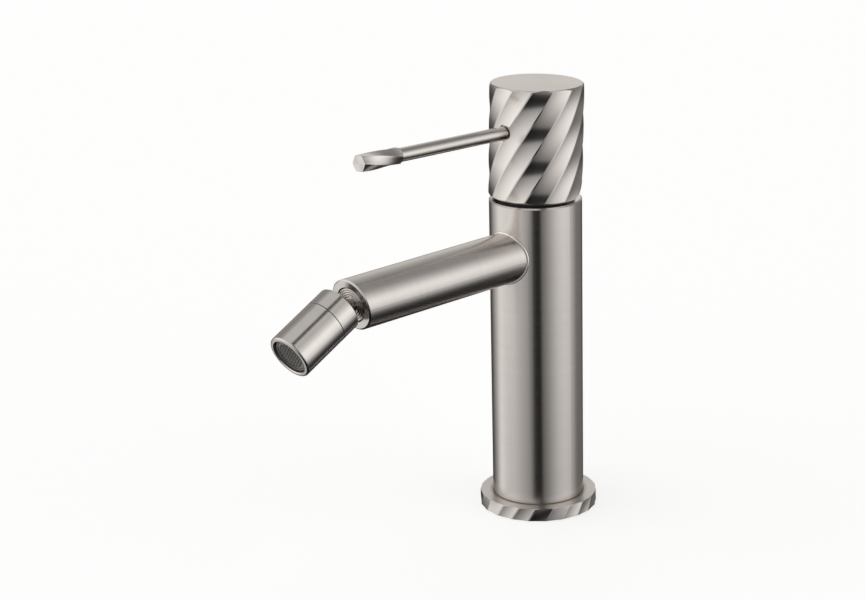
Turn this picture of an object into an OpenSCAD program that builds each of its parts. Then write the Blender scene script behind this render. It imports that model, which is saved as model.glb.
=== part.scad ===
// Single-lever bidet mixer with a straight column, a horizontal spout and a ball-jointed nozzle.
// Millimetres. The origin is the centre of the underside that stands on the sanitary ware, +Z is up
// and the spout and the lever point along -Y. Hot water comes up on the -X side.

/* [Column] */
// Outer diameter of the column
column_d = 40; // [39:0.5:44]
// Wall of the column
column_wall = 2.4; // [2:0.1:2.8]
// Height of the column's rim above the sanitary ware
column_h = 139.5; // [125:0.5:165]
// Bevel on the column's rim
rim_bevel = 0.6; // [0.3:0.1:1]

/* [Base] */
// Diameter of the base ring over its ridges
ring_d = 51.3; // [50:0.5:58]
// Height of the base ring
ring_h = 5.7; // [4:0.1:9]
// Ledge in the ring that the column stands on
ledge_h = 1.6; // [1.4:0.1:2.5]
// Number of helical flutes on the ring
ring_flutes = 21; // [12:1:28]
// Depth of a flute on the ring at its middle
ring_flute_depth = 0.3; // [0.1:0.05:0.6]
// Thickness of the rubber gasket under the ring
gasket_h = 1.1; // [0.8:0.1:1.2]
// Height of the block that takes the hoses and the stud
inlet_block_h = 24; // [22:1:34]
// Depth of the hose and stud threads
inlet_thread_depth = 10; // [8:0.5:11]
// Wall diameter of the M10x1 hose threads
hose_thread_d = 9; // [8.8:0.05:9.2]
// Wall diameter of the M8 stud thread
stud_thread_d = 6.8; // [6.6:0.05:7]

/* [Spout] */
// Distance from the column's rim down to the spout's axis
spout_drop = 23.05; // [23:0.5:60]
// Distance from the column's axis to the middle of the spout's end face
spout_reach = 108.4; // [80:0.5:160]
// Angle that the spout's end face leans downward
spout_slant = 12.4; // [0:0.2:16]
// Outer diameter of the spout
spout_d = 22; // [20.5:0.5:24]
// Bore of the spout
spout_bore = 10; // [8:0.5:11]
// Chamfer on the spout's end
spout_chamfer = 0.5; // [0.2:0.1:1]
// Diameter of the ball joint's flange
flange_d = 15.1; // [14.5:0.1:16]
// Gap round the flange in the spout's end
flange_gap = 0.25; // [0.1:0.05:0.4]
// Thickness of the ball joint's flange
flange_h = 2.2; // [1.6:0.1:2.6]
// Thread diameter of the ball joint's shank
shank_d = 12; // [11.6:0.2:12.4]
// Length of the ball joint's shank
shank_len = 8; // [6:0.5:12]

/* [Nozzle] */
// Diameter of the nozzle
nozzle_d = 19.9; // [19:0.1:22]
// Distance from the ball's centre to the outlet
nozzle_len = 25.3; // [24.8:0.5:40]
// Distance from the ball's centre to the seam between collar and sleeve
collar_len = 3; // [2.6:0.1:3.6]
// Diameter of the ball
ball_d = 12; // [11.6:0.1:12.2]
// Distance from the spout's end face to the ball's centre
ball_reach = 11.5; // [11.2:0.1:14]
// Water bore through the ball and its neck
ball_bore = 3.8; // [3:0.1:4]
// Diameter of the neck behind the ball
neck_d = 6; // [5.8:0.1:6.2]
// Angle of the nozzle below the horizontal, as shown
nozzle_pitch = 26.8; // [-27:0.1:27]
// Inner diameter of the outlet's lip
outlet_d = 16; // [15.6:0.1:16.4]
// Rounding of the outlet's rim
outlet_round = 0.9; // [0.4:0.1:1.2]
// Depth of the aerator's face behind the outlet
aerator_recess = 0.9; // [0.5:0.1:2]
// Pitch of the aerator's mesh
mesh_pitch = 1.2; // [1:0.1:2]
// Width of one wire of the mesh
mesh_wire = 0.35; // [0.25:0.05:0.5]

/* [Handle] */
// Diameter of the cap over its ridges
cap_d = 40.3; // [39.8:0.1:44]
// Height of the cap
cap_h = 49.3; // [42:0.5:60]
// Gap between the closed cap and the column's rim
cap_gap = 0.6; // [0.5:0.1:1.5]
// Wall of the cap round its cavity
cap_wall = 2; // [1.6:0.1:2.2]
// Height of the plain foot below the flutes
cap_foot_h = 1; // [0.5:0.1:3]
// Step from the ridges in to the foot
cap_foot_step = 0.6; // [0.5:0.05:0.8]
// Number of helical flutes on the cap
cap_flutes = 14; // [8:1:20]
// Depth of a flute at its middle
flute_depth = 0.4; // [0.1:0.05:0.8]
// Width of the land left between two flutes
flute_land = 0.7; // [0.4:0.1:1.2]
// Angle of the flutes from the axis
flute_angle = 32.4; // [10:0.1:45]
// Chamfer round the top of the cap
cap_chamfer = 0.7; // [0.3:0.1:1]
// Distance from the cap's lower edge up to the lever
lever_rise = 30.3; // [27:0.5:34]
// Diameter of the lever's rod
lever_d = 5.8; // [5:0.1:6.4]
// Distance from the cap's axis to the lever's end
lever_reach = 102.6; // [80:0.5:130]
// Length of the fluted grip at the lever's end
grip_len = 21.7; // [16:0.2:32]
// Diameter of the grip over its corners
grip_d = 7.5; // [7:0.1:9]
// Twist of the grip over its length
grip_twist = 65; // [0:5:120]
// Lift of the lever above its closed stop, as shown
lift_shown = 1.84; // [0:0.01:6]
// Largest lift of the lever above its closed stop
lift_max = 25; // [18:0.5:26]

/* [Cartridge] */
// Outer diameter of the cartridge
cartridge_d = 25; // [24.8:0.1:25.2]
// Depth of the cartridge's seat below the column's rim
seat_drop = 16; // [15.6:0.1:16.4]
// Wall of the cartridge's shell
shell_wall = 1.12; // [1:0.02:1.2]
// Thickness of the fixed ceramic disc
fixed_disc_h = 3.5; // [3:0.1:3.6]
// Thickness of the sliding ceramic disc
moving_disc_h = 2.5; // [2.2:0.1:2.6]
// Distance of the inlet ports from the middle plane
port_x = 7; // [6.8:0.1:7.1]
// Diameter of the inlet ports
port_d = 4.2; // [3.6:0.1:4.4]
// Diameter of the mixed water port
mixed_port_d = 4.8; // [4:0.1:5]
// Diameter of the stem
stem_d = 8; // [7.4:0.2:8.2]
// Diameter of the ball at the stem's lower end
stem_ball_d = 4; // [3.6:0.1:4.2]
// Diameter of the pivot pin
pin_d = 3; // [2.6:0.1:3.2]
// Outer diameter of the riser tubes
riser_d = 8; // [7:0.5:8]
// Wall of the riser tubes
riser_wall = 0.8; // [0.6:0.1:1]

/* [Fits] */
// Radial clearance between fixed pieces
fit = 0.05; // [0.03:0.01:0.08]
// Radial clearance of running fits
running = 0.06; // [0.04:0.01:0.08]
// Gap between moving pieces that do not guide each other
free_gap = 0.3; // [0.25:0.05:0.35]
// Width of the small O-rings
oring = 1.1; // [1:0.05:1.2]

/* [Hidden] */

$fn = 96;
eps = 0.01;
far = 400;

// Column and what stands in it
column_r = column_d / 2;
column_ri = column_r - column_wall;
block_r = column_ri - 2 * fit;
foot_lip = 2.2;
inlet_block_z = ledge_h + 1.4;
inlet_block_top = inlet_block_z + inlet_block_h;
ring_r = ring_d / 2;
flute_sweep = tan(flute_angle) * 180 / PI;
ring_twist = flute_sweep / ring_r;
ring_phase = -1;
gasket_w = (ring_r - column_r + foot_lip) / 3;
gasket_r = (column_r + ring_r) / 2 - 0.4;

// Heights that hang from the column's rim
spout_z = column_h - spout_drop;
block_top = column_h - 2.5;
block_bottom = spout_z - 18.5;
seat_z = column_h - seat_drop;
base_flange_h = 1.5;
base_h = 3.5;
fixed_disc_z = seat_z + base_h;
moving_disc_z = fixed_disc_z + fixed_disc_h;
coupler_z = moving_disc_z + moving_disc_h;
coupler_h = 4.2;
coupler_top = coupler_z + coupler_h;
stem_ball_z = coupler_z + stem_ball_d / 2 + 0.4;
pivot_z = stem_ball_z + 6.6;
carrier_z = coupler_top + free_gap;
carrier_top = pivot_z + 2.6;
shell_top = carrier_top + 2.4;
clamp_flange_z = seat_z + 7.7;
clamp_flange_h = 2;
nut_z = clamp_flange_z + clamp_flange_h;
nut_thread_h = block_top - nut_z + 1;
nut_hex_h = 3;
nut_r = cartridge_d / 2 + 2.9;
dome_r = column_ri - 0.6;
dome_wall = 1.1;
dome_skirt_z = block_top;
dome_skirt_h = 2.3;
dome_top = pivot_z + 10;

// Ports of the cartridge, the block and the inlets
port_y = -3;
mixed_y = 5.2;
port_seal_w = 1.2;
port_seal_h = 0.95;
key_x = 8.4;
key_y = 4.8;
key_d = 2;
socket_depth = 10;
riser_r = riser_d / 2;
riser_z = inlet_block_top - socket_depth;
riser_top = block_bottom + socket_depth;
riser_seal_z = inlet_block_top - 5;
riser_seal_top_z = block_bottom + 5;
stud_y = 9.5;

// Spout and its inner end
spout_r = spout_d / 2;
spout_seat = 14;
spigot_r = 5.5;
spigot_len = 6;
spigot_bore_r = 3.6;
block_duct_r = 3.2;
spout_seal_w = 11;
flange_r = flange_d / 2;
shank_r = shank_d / 2;
stem_seal_h = 0.8;
recess_depth = flange_h + stem_seal_h + 0.1;

// Ball joint and nozzle, measured along the nozzle's own axis from the ball's centre
ball_r = ball_d / 2;
ball_y = -(spout_reach + ball_reach * cos(spout_slant));
ball_z = spout_z - ball_reach * sin(spout_slant);
seat_inner_r = ball_r + running;
seat_outer_r = seat_inner_r + 0.7;
cavity_r = seat_outer_r + running;
nozzle_r = nozzle_d / 2;
collar_rear = -6.3;
lip_rear = -2;
collar_chamfer = 0.9;
collar_step = 0.5;
thread_start = -0.5;
thread_r = cavity_r + 1.7;
groove_z = 3.75;
groove_h = 1.95;
groove_r = ball_r + 0.1;
ball_seal_w = 1.7;
ball_seal_z = 4.65;
chamber_r = 4.2;
bay_z = nozzle_len - 13.5;
bay_r = outlet_d / 2;
aerator_gasket_h = 1.2;
aerator_z = bay_z + aerator_gasket_h;
aerator_top = nozzle_len - aerator_recess;
aerator_r = bay_r - 0.25;
mesh_r = aerator_r - 1.2;
mesh_h = 0.5;

// Handle, measured in the frame of the closed handle
cap_r = cap_d / 2;
cap_z = column_h + cap_gap;
cap_top = cap_z + cap_h;
cap_ri = cap_r - cap_wall;
cap_twist = flute_sweep / cap_r;
cap_phase = 1.76;
cavity_top = pivot_z + dome_r + 1.2;
lever_z = cap_z + lever_rise;
stem_r = stem_d / 2;
stem_top = lever_z + 5;
stem_flat = stem_r - 0.6;
lever_r = lever_d / 2;
grub_len = 6.3;
lever_start = stem_flat + grub_len + 0.6;
lever_entry = 1.5;
tip_start = lever_reach - grip_len;
grip_phase = 6;
tip_spigot = 11;
tip_spigot_r = lever_r - 1;
relief_angle = lift_max + 0.6;
relief_gap = 0.25;

// Cartridge internals
cartridge_r = cartridge_d / 2;
shell_ri = cartridge_r - shell_wall;
disc_r = shell_ri - running;
moving_disc_r = disc_r - 1.7;
disc_land = 3.4;
carrier_r = shell_ri - running;
pin_r = pin_d / 2;
pin_len = 2 * carrier_r - 3;
stem_ball_r = stem_ball_d / 2;
slot_w = 6.6;
slot_len = 13;
stem_waist = slot_w - 2 * free_gap;
stem_boss_y = 7.2;
stem_boss_h = 7;
arm = pivot_z - stem_ball_z;
disc_travel = arm * lift_max * PI / 180;
closed_y = disc_travel / 2 - 0.02;
shown_y = -arm * sin(lift_shown);
rail_x = 6;
rail_w = 2;
rail_h = 1.2;
rail_len = 10;
socket_r = stem_ball_r + free_gap;

// Tilts the handle about the cartridge's pivot to the lift shown
module lifted() {
    translate([0, 0, pivot_z]) rotate([-lift_shown, 0, 0]) translate([0, 0, -pivot_z]) children();
}

// Turns a shape built along +Z so that it points along -Y at height z
module forward(z) {
    translate([0, 0, z]) rotate([90, 0, 0]) children();
}

// Puts a shape built along +Z from the ball's centre on the nozzle's axis
module nozzle_place() {
    translate([0, ball_y, ball_z]) rotate([90 + nozzle_pitch, 0, 0]) children();
}

// Puts a shape built along +Z from the middle of the spout's end face square to that face
module stem_place() {
    translate([0, -spout_reach, spout_z]) rotate([90 + spout_slant, 0, 0]) children();
}

// Ring of rectangular section between two radii
module band(ri, ro, z, h) {
    translate([0, 0, z]) difference() {
        cylinder(r = ro, h = h);
        translate([0, 0, -1]) cylinder(r = ri, h = h + 2);
    }
}

// O-ring of the given section, lying in the plane at z
module oring_at(ri, w, z) {
    translate([0, 0, z]) rotate_extrude() translate([ri + w / 2, 0]) circle(d = w, $fn = 32);
}

// Spherical shell cut by two cones, given by the angles of its edges from the axis
module ball_band(ri, ro, from, to) {
    steps = 8;
    rotate_extrude() polygon(concat(
        [for (i = [0:steps]) let(a = from + (to - from) * i / steps) [ri * sin(a), ri * cos(a)]],
        [for (i = [steps:-1:0]) let(a = from + (to - from) * i / steps) [ro * sin(a), ro * cos(a)]]));
}

// Outline of a round bar with shallow flutes and narrow lands
function flute_outline(r, count, depth, land) = [
    for (i = [0:count - 1], k = [0:4])
        let(pitch = 360 / count,
            half_land = land / r * 90 / PI,
            t = k == 0 ? -half_land : half_land + (pitch - 2 * half_land) * (k - 1) / 4,
            u = k == 0 ? 0 : (k - 1) / 4,
            rr = r - depth * 4 * u * (1 - u),
            a = i * pitch + t)
        [rr * cos(a), rr * sin(a)]];

// Fluted bar that turns by twist degrees a millimetre, with a land at the angle phase
module fluted(r, h, count, depth, land, twist, phase, slices) {
    rotate(phase - 90) linear_extrude(height = h, twist = -twist * h, slices = slices)
        polygon(flute_outline(r, count, depth, land));
}

// Column and base
module column_body() {
    color("#b4aea9") difference() {
        translate([0, 0, ledge_h]) rotate_extrude() polygon([
            [column_ri, 0], [column_r, 0], [column_r, column_h - ledge_h - rim_bevel],
            [column_r - rim_bevel, column_h - ledge_h], [column_ri, column_h - ledge_h]]);
        forward(spout_z) cylinder(r = spout_r + fit, h = far);
    }
}

module base_ring() {
    color("#aaa5a0") difference() {
        fluted(ring_r, ring_h, ring_flutes, ring_flute_depth, flute_land, ring_twist, ring_phase, 4);
        translate([0, 0, ledge_h]) cylinder(r = column_r + fit, h = ring_h);
        translate([0, 0, -1]) cylinder(r = column_r - foot_lip, h = ring_h + 2);
        band(gasket_r - gasket_w / 2 - fit, gasket_r + gasket_w / 2 + fit, -1, gasket_h + 1);
    }
}

module base_gasket() {
    color("#262626") band(gasket_r - gasket_w / 2, gasket_r + gasket_w / 2, 0, gasket_h);
}

module inlet_block() {
    color("#c9a64e") difference() {
        translate([0, 0, inlet_block_z]) cylinder(r = block_r, h = inlet_block_h);
        for (side = [-1, 1]) translate([side * port_x, port_y, 0]) {
            translate([0, 0, -1]) cylinder(d = hose_thread_d, h = inlet_block_z + inlet_thread_depth + 1);
            cylinder(d = port_d + 1, h = far);
            translate([0, 0, riser_z]) cylinder(r = riser_r + fit, h = far);
            translate([0, 0, riser_seal_z - oring / 2 - fit])
                cylinder(r = riser_r + oring + 2 * fit, h = oring + 2 * fit);
        }
        translate([0, stud_y, -1]) cylinder(d = stud_thread_d, h = inlet_block_z + inlet_thread_depth + 1);
        band(block_r - oring, block_r + 1, (inlet_block_z + inlet_block_top) / 2 - oring / 2 - fit,
            oring + 2 * fit);
    }
}

module inlet_block_seal() {
    color("#2b2b2b") oring_at(block_r - oring + fit, oring, (inlet_block_z + inlet_block_top) / 2);
}

module riser(side) {
    translate([side * port_x, port_y, 0]) band(riser_r - riser_wall, riser_r, riser_z, riser_top - riser_z);
}

module hot_riser() {
    color("#b87a4b") riser(-1);
}

module cold_riser() {
    color("#b87a4b") riser(1);
}

module riser_seals() {
    color("#2b2b2b") for (side = [-1, 1], z = [riser_seal_z, riser_seal_top_z])
        translate([side * port_x, port_y, 0]) oring_at(riser_r + fit, oring, z);
}

// Valve block with its cartridge seat, two inlets and the outlet to the spout
module valve_block() {
    color("#c9a64e") difference() {
        translate([0, 0, block_bottom]) cylinder(r = block_r, h = block_top - block_bottom);
        translate([0, 0, seat_z]) cylinder(r = cartridge_r + fit, h = far);
        translate([0, 0, clamp_flange_z]) cylinder(r = nut_r + fit, h = far);
        forward(spout_z) {
            translate([0, 0, spout_seat]) cylinder(r = spout_r + 2 * fit, h = far);
            translate([0, 0, spout_seat - spigot_len]) cylinder(r = spigot_r + fit, h = far);
            translate([0, 0, -mixed_y]) cylinder(r = block_duct_r, h = spout_seat);
            translate([0, 0, spout_seal_w - oring / 2 - fit])
                cylinder(r = spigot_r + oring + 2 * fit, h = oring + 2 * fit);
        }
        translate([0, mixed_y, spout_z]) cylinder(d = mixed_port_d, h = far);
        for (side = [-1, 1]) {
            translate([side * port_x, port_y, 0]) {
                cylinder(d = port_d, h = far);
                cylinder(r = riser_r + fit, h = block_bottom + socket_depth + eps);
                translate([0, 0, riser_seal_top_z - oring / 2 - fit])
                    cylinder(r = riser_r + oring + 2 * fit, h = oring + 2 * fit);
            }
            translate([side * key_x, key_y, seat_z - 1.8]) cylinder(d = key_d + 2 * fit, h = far);
        }
    }
}

// Dome over the cartridge, centred on the pivot so that the cap swings round it
module cover_dome() {
    color("#3a3937") rotate_extrude() polygon(concat(
        [[dome_r - dome_wall - 0.2, dome_skirt_z], [column_ri - fit, dome_skirt_z],
         [column_ri - fit, dome_skirt_z + dome_skirt_h]],
        [for (i = [0:8]) let(
            z = dome_skirt_z + dome_skirt_h + (dome_top - dome_skirt_z - dome_skirt_h) * i / 8)
            [sqrt(pow(dome_r, 2) - pow(z - pivot_z, 2)), z]],
        [for (i = [8:-1:0]) let(
            z = dome_skirt_z + dome_skirt_h + (dome_top - dome_skirt_z - dome_skirt_h) * i / 8)
            [sqrt(pow(dome_r - dome_wall, 2) - pow(z - pivot_z, 2)), z]]));
}

module clamp_nut() {
    color("#c2a05a") difference() {
        union() {
            translate([0, 0, nut_z]) cylinder(r = nut_r, h = nut_thread_h);
            translate([0, 0, nut_z + nut_thread_h]) cylinder(r = nut_r - 0.2, h = nut_hex_h, $fn = 6);
        }
        cylinder(r = cartridge_r + 2 * fit, h = far);
    }
}

// Cartridge pieces that stay still
module cartridge_base() {
    color("#d9d5c8") difference() {
        union() {
            translate([0, 0, seat_z]) cylinder(r = cartridge_r - fit, h = base_flange_h);
            translate([0, 0, seat_z]) cylinder(r = shell_ri - fit, h = base_h);
            for (side = [-1, 1]) translate([side * key_x, key_y, seat_z - 1.5])
                cylinder(d = key_d, h = 1.5 + base_h + 1.5);
        }
        for (side = [-1, 1]) translate([side * port_x, port_y, 0]) {
            cylinder(d = port_d, h = far);
            band(port_d / 2 + 0.4, port_d / 2 + 0.4 + port_seal_w + 2 * fit,
                seat_z - 1, 1 + port_seal_h + fit);
        }
        translate([0, mixed_y, 0]) {
            cylinder(d = mixed_port_d, h = far);
            band(mixed_port_d / 2 + 0.3, mixed_port_d / 2 + 0.3 + port_seal_w + 2 * fit,
                seat_z - 1, 1 + port_seal_h + fit);
        }
    }
}

module cartridge_base_seals() {
    color("#2b2b2b") {
        for (side = [-1, 1]) translate([side * port_x, port_y, 0])
            band(port_d / 2 + 0.4 + fit, port_d / 2 + 0.4 + fit + port_seal_w, seat_z, port_seal_h);
        translate([0, mixed_y, 0])
            band(mixed_port_d / 2 + 0.3 + fit, mixed_port_d / 2 + 0.3 + fit + port_seal_w,
                seat_z, port_seal_h);
    }
}

module fixed_disc() {
    color("#e9e6df") difference() {
        translate([0, 0, fixed_disc_z]) cylinder(r = disc_r, h = fixed_disc_h);
        for (side = [-1, 1]) {
            translate([side * port_x, port_y, 0]) cylinder(d = port_d, h = far);
            translate([side * key_x, key_y, fixed_disc_z - 1]) cylinder(d = key_d + 2 * fit, h = 2.6);
        }
        translate([0, mixed_y, 0]) cylinder(d = mixed_port_d, h = far);
    }
}

module cartridge_shell() {
    color("#e3ddcf") difference() {
        union() {
            translate([0, 0, seat_z + base_flange_h])
                cylinder(r = cartridge_r, h = shell_top - seat_z - base_flange_h);
            translate([0, 0, clamp_flange_z]) cylinder(r = cartridge_r + 1.7, h = clamp_flange_h);
        }
        translate([0, 0, -1]) cylinder(r = shell_ri, h = carrier_top + free_gap + 1);
        cylinder(r = stem_r + 4.6, h = far);
    }
}

// Spout and the ball it carries
module spout_tube() {
    shank_end = recess_depth + shank_len;
    color("#b4aea9") difference() {
        intersection() {
            forward(spout_z) {
                translate([0, 0, spout_seat - spigot_len]) cylinder(r = spigot_r, h = spigot_len + 1);
                translate([0, 0, spout_seat]) cylinder(r = spout_r, h = far);
            }
            stem_place() translate([0, 0, -far])
                cylinder(r1 = spout_r - spout_chamfer + far, r2 = spout_r - spout_chamfer, h = far);
        }
        forward(spout_z) {
            translate([0, 0, spout_seat - spigot_len - 1]) cylinder(r = spigot_bore_r, h = spigot_len + 4);
            translate([0, 0, spout_seat + 2])
                cylinder(d = spout_bore, h = spout_reach - shank_end - spout_seat - 2);
        }
        stem_place() {
            translate([0, 0, -recess_depth]) cylinder(r = flange_r + flange_gap, h = far);
            translate([0, 0, -shank_end - 1.5]) cylinder(r = shank_r + fit, h = far);
        }
    }
}

module spout_seal() {
    color("#2b2b2b") forward(spout_z) oring_at(spigot_r + fit, oring, spout_seal_w);
}

module ball_stem() {
    back = -flange_h;
    groove = 0.35;
    color("#a7a29d") stem_place() difference() {
        union() {
            rotate_extrude() polygon(concat(
                [[0, back - stem_seal_h - shank_len], [shank_r, back - stem_seal_h - shank_len],
                 [shank_r, back], [flange_r, back], [flange_r, -groove]],
                [for (i = [0:3]) for (k = [0, 1])
                    [flange_r - 0.5 - i * 0.9 - k * 0.45, -groove * k]],
                [[neck_d / 2, -groove], [neck_d / 2, ball_reach], [0, ball_reach]]));
            translate([0, 0, ball_reach]) sphere(r = ball_r);
        }
        translate([0, 0, back - stem_seal_h - shank_len - 1]) cylinder(d = ball_bore, h = far);
        translate([0, 0, ball_reach + ball_r - 4]) cylinder(d = 5.4, h = 10, $fn = 6);
    }
}

module ball_stem_seal() {
    color("#2b2b2b") stem_place()
        band(shank_r + fit, flange_r - 0.1, -flange_h - stem_seal_h, stem_seal_h);
}

// Rotor of the cartridge
module stem_carrier() {
    color("#e3ddcf") difference() {
        translate([0, 0, carrier_z]) cylinder(r = carrier_r, h = carrier_top - carrier_z);
        translate([-slot_w / 2, -slot_len / 2, carrier_z - 1]) cube([slot_w, slot_len, far]);
        for (side = [-1, 1])
            translate([side * rail_x - rail_w / 2 - free_gap, -carrier_r - 1, carrier_z - 1])
                cube([rail_w + 2 * free_gap, 2 * carrier_r + 2, rail_h + free_gap + 1]);
        translate([-far / 2, 0, pivot_z]) rotate([0, 90, 0]) cylinder(r = pin_r + fit / 2, h = far);
    }
}

module pivot_pin() {
    color("#c4c4c8") translate([-pin_len / 2, 0, pivot_z]) rotate([0, 90, 0])
        cylinder(r = pin_r, h = pin_len);
}

// Sliding disc and the coupler that the stem's ball moves
module moving_disc() {
    color("#efece6") translate([0, closed_y + shown_y, moving_disc_z]) difference() {
        cylinder(r = moving_disc_r, h = moving_disc_h);
        translate([0, 0.9, -1]) cylinder(r = moving_disc_r - disc_land, h = 1 + moving_disc_h / 2);
        for (side = [-1, 1]) translate([side * rail_x, 0, moving_disc_h - 0.8])
            cylinder(d = 2 + 2 * fit, h = 2);
    }
}

module disc_coupler() {
    color("#7d8f6a") translate([0, shown_y, coupler_z]) difference() {
        union() {
            cylinder(r = moving_disc_r - 1.4, h = coupler_h);
            for (side = [-1, 1]) {
                translate([side * rail_x - rail_w / 2, -rail_len / 2, 0])
                    cube([rail_w, rail_len, coupler_h + rail_h]);
                translate([side * rail_x, closed_y, -0.7]) cylinder(d = 2, h = 2);
            }
        }
        translate([0, 0, -1]) cylinder(r = socket_r, h = coupler_h + 2);
        translate([0, 0, coupler_h - 1.2]) cylinder(r = socket_r + 0.9, h = 2);
    }
}

// Handle pieces, drawn closed and lifted together
module stem() {
    boss_z = pivot_z - 2.4;
    color("#c9a64e") lifted() difference() {
        union() {
            translate([0, 0, stem_ball_z]) sphere(r = stem_ball_r, $fn = 48);
            translate([0, 0, stem_ball_z]) cylinder(r = stem_ball_r - 0.4, h = boss_z - stem_ball_z + eps);
            translate([-stem_waist / 2, -stem_boss_y / 2, boss_z])
                cube([stem_waist, stem_boss_y, stem_boss_h]);
            translate([0, 0, boss_z + stem_boss_h])
                cylinder(r = stem_r, h = stem_top - boss_z - stem_boss_h);
        }
        translate([-far / 2, 0, pivot_z]) rotate([0, 90, 0]) cylinder(r = pin_r + running, h = far);
        translate([-far / 2, -stem_flat - far, cavity_top + 3]) cube([far, far, far]);
    }
}

module handle_cap() {
    color("#a8a39e") lifted() difference() {
        intersection() {
            translate([0, 0, cap_z]) fluted(cap_r, cap_h, cap_flutes, flute_depth, flute_land,
                cap_twist, cap_phase, 16);
            rotate_extrude() polygon([[0, cap_z - 1], [cap_r - cap_foot_step, cap_z - 1],
                [cap_r - cap_foot_step, cap_z + cap_foot_h], [cap_r + 1, cap_z + cap_foot_h],
                [cap_r + 1, cap_top - cap_chamfer - 1], [cap_r - cap_chamfer, cap_top], [0, cap_top]]);
        }
        translate([0, 0, cap_z - 1]) cylinder(r = cap_ri, h = cavity_top - cap_z + 1);
        translate([0, 0, cap_z]) cylinder(r = stem_r + fit, h = stem_top + 0.3 - cap_z);
        forward(lever_z) {
            cylinder(r = lever_r + fit, h = far);
            translate([0, 0, cap_r - lever_entry]) cylinder(r = lever_r + 0.6, h = far);
        }
        translate([0, 0, pivot_z]) rotate([relief_angle, 0, 0])
            translate([-far / 2, -far / 2, -far]) cube([far, far, far + column_h + relief_gap - pivot_z]);
    }
}

module grub_screw() {
    color("#8d8a86") lifted() forward(lever_z) difference() {
        translate([0, 0, stem_flat + fit]) cylinder(r = lever_r, h = grub_len);
        translate([0, 0, stem_flat + grub_len - 2.8]) cylinder(d = 3.4, h = 4, $fn = 6);
    }
}

module lever_rod() {
    color("#b4aea9") lifted() forward(lever_z) translate([0, 0, lever_start]) {
        cylinder(r = lever_r, h = tip_start - lever_start);
        cylinder(r = tip_spigot_r, h = tip_start + tip_spigot - lever_start);
    }
}

module lever_tip() {
    color("#aaa5a0") lifted() forward(lever_z) difference() {
        intersection() {
            translate([0, 0, tip_start]) rotate(grip_phase - grip_twist) linear_extrude(height = grip_len,
                twist = -grip_twist, slices = 16, $fn = 6) circle(d = grip_d, $fn = 6);
            rotate_extrude() polygon([[0, tip_start], [lever_r + 0.1, tip_start],
                [grip_d / 2 + 0.1, tip_start + 0.9], [grip_d / 2 + 0.1, lever_reach - 0.3],
                [grip_d / 2 - 0.2, lever_reach], [0, lever_reach]]);
        }
        translate([0, 0, tip_start - 1]) cylinder(r = tip_spigot_r + fit, h = tip_spigot + 1.3);
    }
}

// Ball joint seats
module rear_seat() {
    color("#dcd8cf") nozzle_place() ball_band(seat_inner_r, seat_outer_r, 99, 107);
}

module front_seat() {
    color("#dcd8cf") nozzle_place() ball_band(seat_inner_r, seat_outer_r, 62, 78);
}

module ball_seal() {
    color("#2b2b2b") nozzle_place() rotate_extrude()
        translate([sqrt(pow(ball_r + running + ball_seal_w / 2, 2) - pow(ball_seal_z, 2)), ball_seal_z])
            circle(d = ball_seal_w, $fn = 32);
}

// Nozzle shells
module nozzle_collar() {
    lip_open = sqrt(pow(cavity_r, 2) - pow(lip_rear, 2));
    color("#b4aea9") nozzle_place() rotate_extrude() polygon(concat(
        [[lip_open, lip_rear], [lip_open, collar_rear + 3 * collar_step],
         [lip_open + collar_step, collar_rear + 3 * collar_step],
         [lip_open + collar_step, collar_rear + 1.5 * collar_step],
         [lip_open + 2 * collar_step, collar_rear + 1.5 * collar_step],
         [lip_open + 2 * collar_step, collar_rear],
         [nozzle_r - collar_chamfer, collar_rear], [nozzle_r, collar_rear + collar_chamfer],
         [nozzle_r, collar_len - 0.15], [nozzle_r - 0.15, collar_len], [thread_r + fit, collar_len],
         [thread_r + fit, thread_start], [cavity_r, thread_start]],
        [for (i = [0:8]) let(z = lip_rear * i / 8) [sqrt(pow(cavity_r, 2) - pow(z, 2)), z]]));
}

module nozzle_sleeve() {
    rear = thread_start + 0.1;
    color("#b4aea9") nozzle_place() rotate_extrude() polygon(concat(
        [for (i = [0:5]) let(z = rear + (groove_z - rear) * i / 5) [sqrt(pow(cavity_r, 2) - pow(z, 2)), z]],
        [[groove_r, groove_z], [groove_r, groove_z + groove_h], [chamber_r, groove_z + groove_h],
         [chamber_r, bay_z - 3], [bay_r - 2, bay_z - 3], [bay_r - 2, bay_z], [bay_r, bay_z],
         [bay_r, nozzle_len - 0.3], [bay_r + 0.3, nozzle_len]],
        [for (i = [0:6]) let(a = 90 - 15 * i)
            [nozzle_r - outlet_round + outlet_round * cos(a),
             nozzle_len - outlet_round + outlet_round * sin(a)]],
        [[nozzle_r, collar_len + 0.15], [nozzle_r - 0.15, collar_len], [thread_r, collar_len],
         [thread_r, rear]]));
}

// Aerator
module aerator_gasket() {
    color("#2b2b2b") nozzle_place() band(bay_r - 1.9, bay_r - fit, bay_z, aerator_gasket_h);
}

module aerator_body() {
    color("#6f6e6b") nozzle_place() difference() {
        union() {
            translate([0, 0, aerator_z]) cylinder(r = aerator_r, h = aerator_top - aerator_z - 0.4);
            translate([0, 0, aerator_top - 0.4]) cylinder(r = aerator_r - 0.4, h = 0.4);
        }
        translate([0, 0, aerator_z + 1]) cylinder(r = mesh_r + fit, h = far);
        for (a = [0:60:300]) rotate(a) translate([3.6, 0, 0]) cylinder(d = 1.8, h = far);
        cylinder(d = 2, h = far);
    }
}

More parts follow.
